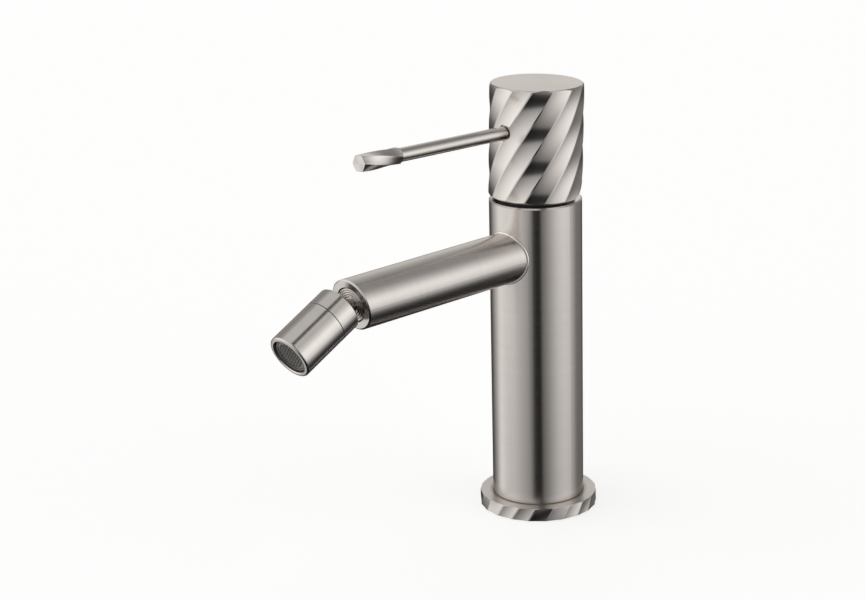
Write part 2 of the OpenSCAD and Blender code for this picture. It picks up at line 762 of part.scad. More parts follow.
module aerator_mesh() {
    lines = floor(mesh_r / mesh_pitch);
    color("#858481") nozzle_place() translate([0, 0, aerator_top - 0.3 - mesh_h]) union() {
        band(mesh_r - 0.5, mesh_r, 0, mesh_h);
        intersection() {
            cylinder(r = mesh_r - 0.2, h = mesh_h);
            for (i = [-lines:lines], turn = [0, 90])
                rotate(turn) translate([i * mesh_pitch - mesh_wire / 2, -mesh_r, 0])
                    cube([mesh_wire, 2 * mesh_r, mesh_h]);
        }
    }
}

column_body();
base_ring();
base_gasket();
inlet_block();
inlet_block_seal();
hot_riser();
cold_riser();
riser_seals();
valve_block();
cover_dome();
clamp_nut();
cartridge_base();
cartridge_base_seals();
fixed_disc();
cartridge_shell();
spout_tube();
spout_seal();
ball_stem();
ball_stem_seal();
stem_carrier();
pivot_pin();
moving_disc();
disc_coupler();
stem();
handle_cap();
grub_screw();
lever_rod();
lever_tip();
rear_seat();
front_seat();
ball_seal();
nozzle_collar();
nozzle_sleeve();
aerator_gasket();
aerator_body();
aerator_mesh();
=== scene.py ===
"""Looks of the single-lever bidet mixer: brushed nickel, fine fluting, seams and a soft studio."""
import math

import bmesh
import bpy
from mathutils import Matrix, Vector


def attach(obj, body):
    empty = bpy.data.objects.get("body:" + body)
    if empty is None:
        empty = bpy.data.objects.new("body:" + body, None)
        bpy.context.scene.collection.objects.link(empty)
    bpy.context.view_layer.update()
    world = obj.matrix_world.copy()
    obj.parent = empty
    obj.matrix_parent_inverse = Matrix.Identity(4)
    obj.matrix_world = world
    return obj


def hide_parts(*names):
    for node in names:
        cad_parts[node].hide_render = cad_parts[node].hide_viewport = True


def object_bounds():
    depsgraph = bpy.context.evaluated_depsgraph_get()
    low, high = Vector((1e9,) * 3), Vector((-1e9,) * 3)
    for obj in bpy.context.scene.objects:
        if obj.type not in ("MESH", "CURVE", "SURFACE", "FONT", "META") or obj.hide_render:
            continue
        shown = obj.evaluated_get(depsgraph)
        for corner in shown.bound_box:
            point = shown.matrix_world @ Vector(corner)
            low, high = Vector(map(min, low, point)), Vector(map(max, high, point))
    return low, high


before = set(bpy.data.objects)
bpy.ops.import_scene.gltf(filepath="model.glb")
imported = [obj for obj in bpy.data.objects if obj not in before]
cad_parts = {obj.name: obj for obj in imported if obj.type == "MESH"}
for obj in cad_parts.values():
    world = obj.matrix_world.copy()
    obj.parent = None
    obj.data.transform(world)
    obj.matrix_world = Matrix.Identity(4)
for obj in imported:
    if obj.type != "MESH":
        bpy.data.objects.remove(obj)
cad_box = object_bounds()

MM = 0.001

# Column and ring, in millimetres as in the part's own sizes
COLUMN_R = 20.0
COLUMN_H = 139.5
LEDGE_H = 1.6
FOOT_LIP = 2.2
RING_R = 25.65
RING_H = 5.7
RING_FLUTES = 21
RING_DEPTH = 0.3
RING_PHASE = -1.0
RING_BEVEL = 0.25
GROOVE_IN = 21.02
GROOVE_OUT = 23.68
GROOVE_H = 1.1
JOINT = 0.22
SEAM = 0.5

# Spout and nozzle
SPOUT_Z = 116.45
SPOUT_R = 11.0
SPOUT_REACH = 108.4
SPOUT_SLANT = 12.4
BALL_REACH = 11.5
NOZZLE_PITCH = 26.8
FLANGE_R = 7.4
FLANGE_H = 2.2
FLANGE_RINGS = 4
FLANGE_PITCH = 1.0
FLANGE_DEPTH = 0.5
RING_STEPS = 8
SHANK_R = 6.0
SHANK_END = -11.0
NECK_R = 3.0
SEAT_R = 7.8
NOZZLE_R = 9.95
COLLAR_LEN = 3.0
AERATOR_TOP = 24.4
MESH_R = 6.5
MESH_RIM = 0.5
MESH_PITCH = 1.15
MESH_WIRES = ((45, 0.28), (135, 0.18))
BALL_R = 6.0
BALL_BORE_R = 1.9
HEX_R = 2.7
HEX_DEPTH = 4.0

# Handle, in the frame of the closed handle
PIVOT_Z = 142.0
LIFT = 1.84
CAP_R = 20.15
CAP_Z = 140.1
CAP_H = 49.3
CAP_WALL = 2.0
CAP_FLUTES = 14
CAP_DEPTH = 0.4
CAP_PHASE = 1.76
FOOT_H = 1.3
FOOT_STEP = 1.4
CAP_CHAMFER = 0.7
CAVITY_TOP = 160.2
FLUTE_ANGLE = 32.4
FLUTE_LAND = 0.7
FLUTE_STEPS = 16
STEM_R = 4.0
STEM_TOP = 175.4
STEM_GAP = 0.3
RELIEF_ANGLE = 25.6
RELIEF_GAP = 0.25
LEVER_Z = 170.4
LEVER_R = 2.9
LEVER_REACH = 102.6
LEVER_ENTRY = 1.5
LEVER_RECESS = 0.6
GRIP_CORNERS = 6
GRIP_LEN = 21.7
GRIP_R = 3.75
GRIP_TWIST = 65.0
GRIP_PHASE = 6.0
GRIP_SHOULDER = 0.9
GRIP_EDGE = 0.3
GRIP_SOCKET = 11.3
FIT = 0.05

LIFTED = (
    Matrix.Translation((0, 0, PIVOT_Z))
    @ Matrix.Rotation(math.radians(-LIFT), 4, "X")
    @ Matrix.Translation((0, 0, -PIVOT_Z))
)
FORWARD = Matrix.Rotation(math.radians(90), 4, "X")
UP = Vector((0, 0, 1))
SPOUT_AXIS = Vector((0, -1, 0))


def forward_axis(drop):
    """Direction towards the front, dropping by an angle in degrees."""
    return Vector((0, -math.cos(math.radians(drop)), -math.sin(math.radians(drop))))


NOZZLE_AXIS = forward_axis(NOZZLE_PITCH)
LEVER_AXIS = forward_axis(-LIFT)
STEM_AXIS = forward_axis(SPOUT_SLANT)
CAP_AXIS = Vector((0, math.sin(math.radians(LIFT)), math.cos(math.radians(LIFT))))
SPOUT_END = Vector((0, -SPOUT_REACH, SPOUT_Z))
BALL = SPOUT_END + BALL_REACH * STEM_AXIS
LEVER_ROOT = LIFTED @ Vector((0, 0, LEVER_Z))
STEM_PLACE = Matrix.Translation(SPOUT_END) @ UP.rotation_difference(STEM_AXIS).to_matrix().to_4x4()
NOZZLE_PLACE = Matrix.Translation(BALL) @ Matrix.Rotation(math.radians(90 + NOZZLE_PITCH), 4, "X")


# Meshes


def add_object(name, mesh):
    """A mesh drawn in millimetres as an object in metres, at the origin."""
    mesh.transform(Matrix.Scale(MM, 4))
    piece = bpy.data.objects.new(name, mesh)
    bpy.context.scene.collection.objects.link(piece)
    return piece


def stacked_rings(rings):
    """Closed solid through rings of points of equal length."""
    count = len(rings[0])
    bm = bmesh.new()
    rows = [[bm.verts.new(p) for p in ring] for ring in rings]
    for low, high in zip(rows, rows[1:]):
        for i in range(count):
            j = (i + 1) % count
            bm.faces.new((low[i], low[j], high[j], high[i]))
    bm.faces.new(rows[0][::-1])
    bm.faces.new(rows[-1])
    return bm


def flute_profile(radius, count, depth):
    """(angle, radius) pairs round a bar with shallow concave flutes and narrow lands."""
    pitch = 2 * math.pi / count
    half_land = FLUTE_LAND / radius / 2
    points = []
    for i in range(count):
        for k in range(3):
            points.append((i * pitch + half_land * (k - 1), radius))
        for k in range(1, FLUTE_STEPS):
            u = k / FLUTE_STEPS
            angle = i * pitch + half_land + (pitch - 2 * half_land) * u
            points.append((angle, radius - depth * 4 * u * (1 - u)))
    return points


def fluted_bar(radius, count, depth, phase, heights, limit):
    """Bar with helical flutes, where limit(z) is the largest radius at a height."""
    twist = math.tan(math.radians(FLUTE_ANGLE)) / radius
    profile = flute_profile(radius, count, depth)
    start = math.radians(phase - 90)
    rings = []
    for z in heights:
        ring = []
        for a, r in profile:
            reach = min(r, limit(z))
            angle = start + a + twist * z
            ring.append((reach * math.cos(angle), reach * math.sin(angle), z))
        rings.append(ring)
    return stacked_rings(rings)


def revolved(outline, matrix=None, segments=128):
    """Solid or shell from (radius, z) points turned round Z."""
    bm = bmesh.new()
    rows = []
    for r, z in outline:
        if r < 1e-6:
            rows.append([bm.verts.new((0, 0, z))])
        else:
            turn = [2 * math.pi * i / segments for i in range(segments)]
            rows.append([bm.verts.new((r * math.cos(a), r * math.sin(a), z)) for a in turn])
    for low, high in zip(rows, rows[1:]):
        for i in range(segments):
            j = (i + 1) % segments
            if len(low) == 1:
                bm.faces.new((low[0], high[j], high[i]))
            elif len(high) == 1:
                bm.faces.new((low[i], low[j], high[0]))
            else:
                bm.faces.new((low[i], low[j], high[j], high[i]))
    if len(rows[0]) > 1 and outline[0] == outline[-1]:
        bmesh.ops.remove_doubles(bm, verts=bm.verts, dist=1e-5)
    bmesh.ops.recalc_face_normals(bm, faces=bm.faces)
    if matrix:
        bm.transform(matrix)
    return bm


def plug(radius, start, end, matrix=None, segments=128):
    """Cylinder from start to end along Z."""
    return revolved([(0, start), (radius, start), (radius, end), (0, end)], matrix, segments)


def square_ring(inner, outer, low, high):
    """Ring with a square section."""
    return revolved([(inner, low), (outer, low), (outer, high), (inner, high), (inner, low)])


def block(low, high, matrix):
    """Box between two corners."""
    bm = bmesh.new()
    bmesh.ops.create_cube(bm, size=1)
    size = Vector(high) - Vector(low)
    centre = (Vector(high) + Vector(low)) / 2
    bm.transform(Matrix.Translation(centre) @ Matrix.Diagonal((*size, 1)))
    bm.transform(matrix)
    return bm


def to_mesh(bm, name):
    mesh = bpy.data.meshes.new(name)
    bm.to_mesh(mesh)
    bm.free()
    return mesh


def carve(name, solid, cutters, matrix=None):
    """Solid minus the cutters, as one object in metres."""
    piece = bpy.data.objects.new(name, to_mesh(solid, name))
    bpy.context.scene.collection.objects.link(piece)
    helpers = []
    for i, cutter in enumerate(cutters):
        helper = bpy.data.objects.new(f"{name}_cut_{i}", to_mesh(cutter, f"{name}_cut_{i}"))
        bpy.context.scene.collection.objects.link(helper)
        helpers.append(helper)
        step = piece.modifiers.new(f"cut_{i}", "BOOLEAN")
        step.operation = "DIFFERENCE"
        step.solver = "EXACT"
        step.object = helper
    bpy.context.view_layer.update()
    result = bpy.data.meshes.new_from_object(piece.evaluated_get(bpy.context.evaluated_depsgraph_get()))
    for item in [piece, *helpers]:
        data = item.data
        bpy.data.objects.remove(item)
        bpy.data.meshes.remove(data)
    result.name = name
    if matrix:
        result.transform(matrix)
    return add_object(name, result)


def smooth(piece, degrees):
    """Smooth shading, with a crisp edge where faces meet at more than an angle."""
    piece.data.shade_smooth()
    bm = bmesh.new()
    bm.from_mesh(piece.data)
    for edge in bm.edges:
        edge.smooth = len(edge.link_faces) == 2 and edge.calc_face_angle(0) < math.radians(degrees)
    bm.to_mesh(piece.data)
    bm.free()


# Materials


class Nodes:
    """Short names for building a node tree."""

    def __init__(self, tree):
        self.tree = tree
        tree.nodes.clear()

    def add(self, kind, **settings):
        node = self.tree.nodes.new(kind)
        for key, value in settings.items():
            setattr(node, key, value)
        return node

    def link(self, source, target):
        self.tree.links.new(source, target)

    def coords(self, output="Object"):
        return self.add("ShaderNodeTexCoord").outputs[output]

    def math(self, operation, a, b=None, clamp=False):
        node = self.add("ShaderNodeMath", operation=operation, use_clamp=clamp)
        for socket, value in zip(node.inputs, (a, b)):
            if value is None:
                continue
            if isinstance(value, (int, float)):
                socket.default_value = value
            else:
                self.link(value, socket)
        return node.outputs[0]

    def less(self, value):
        """1 minus a value."""
        return self.math("SUBTRACT", 1.0, value)

    def blend(self, a, b, share):
        """The part of a, and the rest of b."""
        return self.math("ADD", self.math("MULTIPLY", a, share), self.math("MULTIPLY", b, 1 - share))

    def vector(self, operation, a, b):
        node = self.add("ShaderNodeVectorMath", operation=operation)
        for socket, value in zip(node.inputs, (a, b)):
            if isinstance(value, Vector):
                socket.default_value = value
            else:
                self.link(value, socket)
        return node.outputs["Vector"]

    def dot(self, source, direction):
        node = self.add("ShaderNodeVectorMath", operation="DOT_PRODUCT")
        node.inputs[1].default_value = direction
        self.link(source, node.inputs[0])
        return node.outputs["Value"]

    def parts(self, vector):
        node = self.add("ShaderNodeSeparateXYZ")
        self.link(vector, node.inputs[0])
        return node.outputs

    def ramp(self, source, stops):
        """Value that runs straight between (position, value) stops."""
        node = self.add("ShaderNodeValToRGB")
        node.color_ramp.interpolation = "LINEAR"
        elements = node.color_ramp.elements
        while len(elements) < len(stops):
            elements.new(1.0)
        for element, (position, value) in zip(elements, stops):
            element.position = position
            element.color = (value, value, value, 1)
        self.link(source, node.inputs[0])
        return node.outputs[0]

    def noise(self, vector, scale, detail=2.0, roughness=0.5):
        node = self.add("ShaderNodeTexNoise")
        node.inputs["Scale"].default_value = scale
        node.inputs["Detail"].default_value = detail
        node.inputs["Roughness"].default_value = roughness
        self.link(vector, node.inputs["Vector"])
        return node.outputs[0]

    def tones(self, factor, colour, contrast):
        """Colour that varies by a contrast to either side."""
        node = self.add("ShaderNodeMix", data_type="RGBA")
        node.inputs["A"].default_value = (*((1 - contrast) * c for c in colour), 1)
        node.inputs["B"].default_value = (*(min(1.0, (1 + contrast) * c) for c in colour), 1)
        self.link(factor, node.inputs["Factor"])
        return node.outputs["Result"]

    def relief(self, shader, height, strength, depth):
        """Fine relief, depth in millimetres."""
        node = self.add("ShaderNodeBump")
        node.inputs["Strength"].default_value = strength
        node.inputs["Distance"].default_value = depth * MM
        self.link(height, node.inputs["Height"])
        self.link(node.outputs[0], shader.inputs["Normal"])

    def finish(self, shader, output="ShaderNodeOutputMaterial"):
        self.link(shader.outputs[0], self.add(output).inputs["Surface"])


def new_material(name):
    material = bpy.data.materials.new(name)
    material.use_nodes = True
    return material, Nodes(material.node_tree)


def turned_space(nodes, axis):
    """Object coordinates turned so that the axis is Z."""
    mapping = nodes.add("ShaderNodeMapping", vector_type="POINT")
    mapping.inputs["Rotation"].default_value = axis.rotation_difference(UP).to_euler("XYZ")
    nodes.link(nodes.coords(), mapping.inputs["Vector"])
    return mapping.outputs[0]


def stretched(nodes, space, scale):
    mapping = nodes.add("ShaderNodeMapping", vector_type="POINT")
    mapping.inputs["Scale"].default_value = scale
    nodes.link(space, mapping.inputs["Vector"])
    return mapping.outputs[0]


def across_brushing(nodes, axis, origin):
    """Direction square to turning marks round an axis, on walls and on end faces alike."""
    away = nodes.vector("SUBTRACT", nodes.coords(), origin * MM)
    marks = nodes.vector("CROSS_PRODUCT", axis, away)
    across = nodes.vector("CROSS_PRODUCT", marks, nodes.coords("Normal"))
    turned = nodes.add(
        "ShaderNodeVectorTransform", vector_type="VECTOR", convert_from="OBJECT", convert_to="WORLD"
    )
    nodes.link(across, turned.inputs[0])
    return turned.outputs[0]


def brush_marks(nodes, space, lines):
    """Fine brush lines with broader bands among them."""
    fine = nodes.noise(stretched(nodes, space, lines), 1.0, 3.0, 0.6)
    bands = nodes.noise(stretched(nodes, space, tuple(v / 9 for v in lines)), 1.0)
    return nodes.blend(fine, bands, 0.6)


def painted_shade_near_column(nodes, tone, value, reach):
    """Painted shade and reflection: tone that falls to a share of itself where the column stands, over a
    reach in millimetres.
    """
    x, y, _ = nodes.parts(nodes.coords())
    square = nodes.math("ADD", nodes.math("MULTIPLY", x, x), nodes.math("MULTIPLY", y, y))
    gap = nodes.math("SUBTRACT", nodes.math("SQRT", square), COLUMN_R * MM)
    span = nodes.math("DIVIDE", gap, reach * MM, clamp=True)
    return nodes.vector("MULTIPLY", tone, nodes.ramp(span, [(0.0, value), (1.0, 1.0)]))


def metal_roughness(nodes, marks, axis, roughness, end_roughness):
    """Roughness that follows the brush marks, with more of it on faces square to the axis."""
    rough = nodes.math("ADD", nodes.math("MULTIPLY", marks, 0.06), roughness - 0.03)
    if not end_roughness:
        return rough
    facing = nodes.dot(nodes.coords("Normal"), axis)
    return nodes.math("ADD", rough, nodes.ramp(facing, [(0.9, 0.0), (0.98, end_roughness)]))


def brushed_metal(
    name,
    axis,
    colour,
    origin=Vector((0, 0, 0)),
    roughness=0.25,
    anisotropy=0.75,
    lines=(40, 40, 3600),
    contrast=0.05,
    shade=None,
    end_roughness=0.0,
):
    """Metal with fine brush lines round an axis; lines gives their frequency along X, Y and the axis.

    shade gives the painted shade beside the column: how bright the metal stays there, and how far that
    reaches.
    """
    material, nodes = new_material(name)
    space = turned_space(nodes, axis)
    marks = brush_marks(nodes, space, lines)
    worn = nodes.blend(marks, nodes.noise(space, 38.0), 0.7)
    tone = nodes.tones(nodes.ramp(worn, [(0.3, 0.0), (0.7, 1.0)]), colour, contrast)
    # Painted shade: darker tone near the column, standing in for its shadow and dark reflection on the
    # ring's top.
    if shade:
        tone = painted_shade_near_column(nodes, tone, *shade)
    shader = nodes.add("ShaderNodeBsdfPrincipled")
    shader.inputs["Metallic"].default_value = 1.0
    shader.inputs["Specular Tint"].default_value = METAL_EDGE
    shader.inputs["Anisotropic"].default_value = anisotropy
    nodes.link(tone, shader.inputs["Base Color"])
    nodes.link(metal_roughness(nodes, marks, axis, roughness, end_roughness), shader.inputs["Roughness"])
    nodes.link(across_brushing(nodes, axis, origin), shader.inputs["Tangent"])
    nodes.relief(shader, marks, 0.05, 0.02)
    nodes.finish(shader)
    return material


def moulded(name, colour, roughness, grain=900.0, bump=0.15, contrast=0.08):
    """Plastic, rubber or ceramic with a fine moulded grain."""
    material, nodes = new_material(name)
    fine = nodes.noise(nodes.coords(), grain, 3.0, 0.6)
    cloud = nodes.noise(nodes.coords(), 60.0)
    shader = nodes.add("ShaderNodeBsdfPrincipled")
    nodes.link(nodes.tones(cloud, colour, contrast), shader.inputs["Base Color"])
    rough = nodes.math("ADD", nodes.math("MULTIPLY", fine, 0.15), roughness - 0.07)
    nodes.link(rough, shader.inputs["Roughness"])
    nodes.relief(shader, fine, bump, 0.03)
    nodes.finish(shader)
    return material


METAL_EDGE = (0.96, 0.93, 0.90, 1)
NICKEL = (0.69, 0.650, 0.620)
# Nickel made 6% darker for the nozzle: painted shade, a shaded copy of the same nickel.
NOZZLE_SHADED_TONE = (0.648, 0.612, 0.584)
# Much lighter nickel for the seam bead: painted highlight.
SEAM_HIGHLIGHT_TONE = (0.92, 0.885, 0.86)
BRASS = (0.72, 0.55, 0.27)
COPPER = (0.74, 0.42, 0.27)
STEEL = (0.58, 0.57, 0.55)
# Steel darkened well below the other steel for the recessed outlet mesh: painted shade.
MESH_SHADED_TONE = (0.36, 0.355, 0.345)
POLISHED = (900, 900, 900)

upright_nickel = brushed_metal("upright_nickel", UP, NICKEL)
spout_nickel = brushed_metal("spout_nickel", SPOUT_AXIS, NICKEL, Vector((0, 0, SPOUT_Z)))
# The nozzle takes the darker nickel, as painted shade.
nozzle_nickel = brushed_metal("nozzle_nickel", NOZZLE_AXIS, NOZZLE_SHADED_TONE, BALL, roughness=0.18)
# The ring's top is painted darker near the column: painted shade and reflection.
ring_nickel = brushed_metal("ring_nickel", UP, NICKEL, shade=(0.5, 2.0), end_roughness=0.06)
seam_highlight_nickel = brushed_metal("seam_highlight_nickel", SPOUT_AXIS, SEAM_HIGHLIGHT_TONE, roughness=0.1, anisotropy=0.0)
flange_nickel = brushed_metal(
    "flange_nickel", STEM_AXIS, NICKEL, SPOUT_END, roughness=0.08, anisotropy=0.0
)
cap_nickel = brushed_metal(
    "cap_nickel",
    CAP_AXIS,
    NICKEL,
    roughness=0.19,
    anisotropy=0.2,
    lines=POLISHED,
    contrast=0.02,
    end_roughness=0.1,
)
lever_nickel = brushed_metal(
    "lever_nickel", LEVER_AXIS, NICKEL, LEVER_ROOT, roughness=0.21, end_roughness=0.14
)
machined_brass = brushed_metal("machined_brass", UP, BRASS)
drawn_copper = brushed_metal("drawn_copper", UP, COPPER, lines=(3000, 3000, 60))
stainless = brushed_metal("stainless", UP, STEEL, lines=(1500, 1500, 1500))
shaded_mesh_steel = brushed_metal("shaded_mesh_steel", UP, MESH_SHADED_TONE, roughness=0.3, anisotropy=0.0, lines=POLISHED)
black_rubber = moulded("black_rubber", (0.035, 0.035, 0.036), 0.62)
white_nylon = moulded("white_nylon", (0.78, 0.75, 0.68), 0.42)
lapped_ceramic = moulded("lapped_ceramic", (0.86, 0.85, 0.82), 0.14, 2500.0, 0.03, 0.03)
grey_acetal = moulded("grey_acetal", (0.16, 0.157, 0.15), 0.34)
# Black acetal for the cover dome; its darkness also stands in for the shadow in the gap under the cap:
# painted shade.
black_acetal_and_gap_shade = moulded("black_acetal_and_gap_shade", (0.03, 0.029, 0.028), 0.4)
# Brownish rubber for the joint at the column's foot, its darkness standing in for the groove's shadow:
# painted shade.
joint_shade_rubber = moulded("joint_shade_rubber", (0.10, 0.085, 0.07), 0.5)

FINISH = {
    upright_nickel: ["column_body"],
    ring_nickel: ["base_ring"],
    spout_nickel: ["spout_tube"],
    flange_nickel: ["ball_stem"],
    nozzle_nickel: ["nozzle_collar", "nozzle_sleeve"],
    cap_nickel: ["handle_cap"],
    lever_nickel: ["lever_rod", "lever_tip"],
    machined_brass: ["inlet_block", "valve_block", "clamp_nut", "stem"],
    drawn_copper: ["hot_riser", "cold_riser"],
    stainless: ["pivot_pin", "grub_screw"],
    shaded_mesh_steel: ["aerator_mesh"],
    black_rubber: [
        "base_gasket",
        "inlet_block_seal",
        "riser_seals",
        "cartridge_base_seals",
        "spout_seal",
        "ball_stem_seal",
        "ball_seal",
        "aerator_gasket",
    ],
    white_nylon: [
        "cartridge_base",
        "cartridge_shell",
        "stem_carrier",
        "disc_coupler",
        "rear_seat",
        "front_seat",
    ],
    lapped_ceramic: ["fixed_disc", "moving_disc"],
    grey_acetal: ["aerator_body"],
    black_acetal_and_gap_shade: ["cover_dome"],
}


def dress(piece, material):
    piece.data.materials.clear()
    piece.data.materials.append(material)


for material, names in FINISH.items():
    for name in names:
        dress(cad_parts[name], material)


def place(piece, body, material, slot, *replaced):
    """Gives a new piece its material, its body and the CAD nodes that it stands for."""
    dress(piece, material)
    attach(piece, body)
    if replaced:
        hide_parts(*replaced)


# Pieces


def slices_between(start, end, step, ends, end_step):
    """Heights from start to end, closer together over the last stretch at either end."""
    low = [start + end_step * i for i in range(round(ends / end_step))]
    count = max(1, round((end - start - 2 * ends) / step))
    middle = [start + ends + (end - start - 2 * ends) * i / count for i in range(count)]
    high = [end - ends + end_step * i for i in range(round(ends / end_step) + 1)]
    return low + middle + high


def make_cap():
    """Fluted cap with its cavity, stem bore, lever entry, bevelled foot and the relief at its rear."""

    def limit(z):
        return CAP_R + 1 if z < CAP_H - 3 else CAP_R - CAP_CHAMFER + (CAP_H - z)

    heights = slices_between(0, CAP_H, 0.6, 1.6, 0.1)
    solid = fluted_bar(CAP_R, CAP_FLUTES, CAP_DEPTH, CAP_PHASE, heights, limit)
    solid.transform(Matrix.Translation((0, 0, CAP_Z)))
    entry = Matrix.Translation((0, 0, LEVER_Z)) @ FORWARD
    tilt = Matrix.Translation((0, 0, PIVOT_Z)) @ Matrix.Rotation(math.radians(RELIEF_ANGLE), 4, "X")
    foot, outside, below = CAP_R - FOOT_STEP, CAP_R + 3, CAP_Z - 2
    shoulder = CAP_Z + FOOT_H * (1 + 3 / FOOT_STEP)
    bevel = [(foot, below), (outside, below), (outside, shoulder), (foot, CAP_Z), (foot, below)]
    cutters = [
        plug(CAP_R - CAP_WALL, CAP_Z - 5, CAVITY_TOP),
        plug(STEM_R + FIT, CAP_Z - 4, STEM_TOP + STEM_GAP, segments=64),
        plug(LEVER_R + FIT, 0.5, CAP_R + 5, entry, 64),
        plug(LEVER_R + LEVER_RECESS, CAP_R - LEVER_ENTRY, CAP_R + 4, entry, 64),
        block((-60, -60, -80), (60, 60, COLUMN_H + RELIEF_GAP - PIVOT_Z), tilt),
        revolved(bevel),
    ]
    cap = carve("fluted_cap", solid, cutters, LIFTED)
    smooth(cap, 8)
    place(cap, "handle", cap_nickel, "brushed_nickel", "handle_cap")


def make_ring():
    """Fluted ring that the column stands in, with the gasket's groove."""

    def limit(z):
        return RING_R - RING_BEVEL + min(RING_H - z, 1.0)

    heights = slices_between(0, RING_H, 0.4, 0.8, 0.1)
    solid = fluted_bar(RING_R, RING_FLUTES, RING_DEPTH, RING_PHASE, heights, limit)
    cutters = [
        plug(COLUMN_R + FIT, LEDGE_H, RING_H + 3),
        plug(COLUMN_R - FOOT_LIP, -2, RING_H + 4),
        square_ring(GROOVE_IN, GROOVE_OUT, -1, GROOVE_H),
    ]
    ring = carve("fluted_ring", solid, cutters)
    smooth(ring, 8)
    place(ring, "column", ring_nickel, "brushed_nickel", "base_ring")


def grip_slice(z, reach, flat_steps=8):
    """Outline of the grip's hexagon at a distance along the lever."""
    flat = GRIP_R * math.cos(math.pi / GRIP_CORNERS)
    turn = math.radians(GRIP_PHASE - GRIP_TWIST * (LEVER_REACH - z) / GRIP_LEN)
    points = []
    for i in range(GRIP_CORNERS):
        for k in range(flat_steps):
            a = math.pi / GRIP_CORNERS * (2 * k / flat_steps - 1)
            r = min(flat / math.cos(a), GRIP_R - FIT, reach)
            angle = turn + (i + 0.5) * 2 * math.pi / GRIP_CORNERS + a
            points.append((r * math.cos(angle), r * math.sin(angle), z))
    return points


def make_grip():
    """Twisted hexagonal grip with a chamfered shoulder and a bright end face."""
    start = LEVER_REACH - GRIP_LEN

    def limit(z):
        shoulder = LEVER_R + 0.1 + (z - start) * (GRIP_R - LEVER_R) / GRIP_SHOULDER
        edge = GRIP_R + 0.1 - max(0.0, z - (LEVER_REACH - GRIP_EDGE))
        return min(shoulder, edge)

    heights = slices_between(start, LEVER_REACH, 0.5, 1.2, 0.1)
    solid = stacked_rings([grip_slice(z, limit(z)) for z in heights])
    bore = plug(LEVER_R - 1 + FIT, start - 1, start + GRIP_SOCKET, segments=64)
    grip = carve("hex_grip", solid, [bore], LIFTED @ Matrix.Translation((0, 0, LEVER_Z)) @ FORWARD)
    smooth(grip, 20)
    place(grip, "handle", lever_nickel, "brushed_nickel", "lever_tip")


def seam_path(count=180):
    """Points round the line where the spout meets the column."""
    reach = SPOUT_R + 0.1
    turn = [2 * math.pi * i / count for i in range(count)]
    flat = [(reach * math.cos(a), SPOUT_Z + reach * math.sin(a)) for a in turn]
    return [Vector((x, -math.sqrt(COLUMN_R**2 - x * x), z)) for x, z in flat]


def closed_tube(path, radius, sides=10):
    """Round bead along a closed path on the column."""
    count = len(path)
    bm = bmesh.new()
    rows = []
    for i, point in enumerate(path):
        along = (path[(i + 1) % count] - path[i - 1]).normalized()
        out = Vector((point.x, point.y, 0)).normalized()
        side = along.cross(out).normalized()
        out = side.cross(along).normalized()
        turn = [2 * math.pi * k / sides for k in range(sides)]
        rows.append([bm.verts.new(point + radius * (math.cos(b) * out + math.sin(b) * side)) for b in turn])
    for i in range(count):
        low, high = rows[i], rows[(i + 1) % count]
        for k in range(sides):
            m = (k + 1) % sides
            bm.faces.new((low[k], low[m], high[m], high[k]))
    bmesh.ops.recalc_face_normals(bm, faces=bm.faces)
    return bm


def make_spout_seam():
    """Fine bead where the spout enters the column, in lighter nickel as a painted highlight."""
    seam = add_object("spout_seam", to_mesh(closed_tube(seam_path(), SEAM), "spout_seam"))
    smooth(seam, 60)
    place(seam, "column", seam_highlight_nickel, "brushed_nickel")


def make_ball_stem():
    """Ball, neck and flange with turned rings, on the leaning axis of the spout's end."""
    rings = []
    for k in range(FLANGE_RINGS * RING_STEPS + 1):
        height = FLANGE_DEPTH * (abs(math.sin(math.pi * k / RING_STEPS)) - 1)
        rings.append((FLANGE_R - FLANGE_PITCH * k / RING_STEPS, height))
    start = math.asin(NECK_R / BALL_R)
    end = math.pi - math.asin(BALL_BORE_R / BALL_R)
    turn = [start + (end - start) * k / 24 for k in range(25)]
    outline = [
        (BALL_BORE_R, SHANK_END),
        (SHANK_R, SHANK_END),
        (SHANK_R, -FLANGE_H),
        (FLANGE_R, -FLANGE_H),
        *rings,
        (NECK_R, -FLANGE_DEPTH),
        *((BALL_R * math.sin(a), BALL_REACH - BALL_R * math.cos(a)) for a in turn),
        (BALL_BORE_R, SHANK_END),
    ]
    tip = BALL_REACH + BALL_R
    socket = plug(HEX_R, tip - HEX_DEPTH, tip + 3, segments=6)
    stem = carve("ringed_ball_stem", revolved(outline), [socket], STEM_PLACE)
    smooth(stem, 35)
    place(stem, "column", flange_nickel, "brushed_nickel", "ball_stem")


def banded(name, outline, matrix, body, material):
    """Rubber ring turned from its section, placed on an axis."""
    piece = add_object(name, to_mesh(revolved([*outline, outline[0]], matrix), name))
    smooth(piece, 60)
    place(piece, body, material, "rubber")


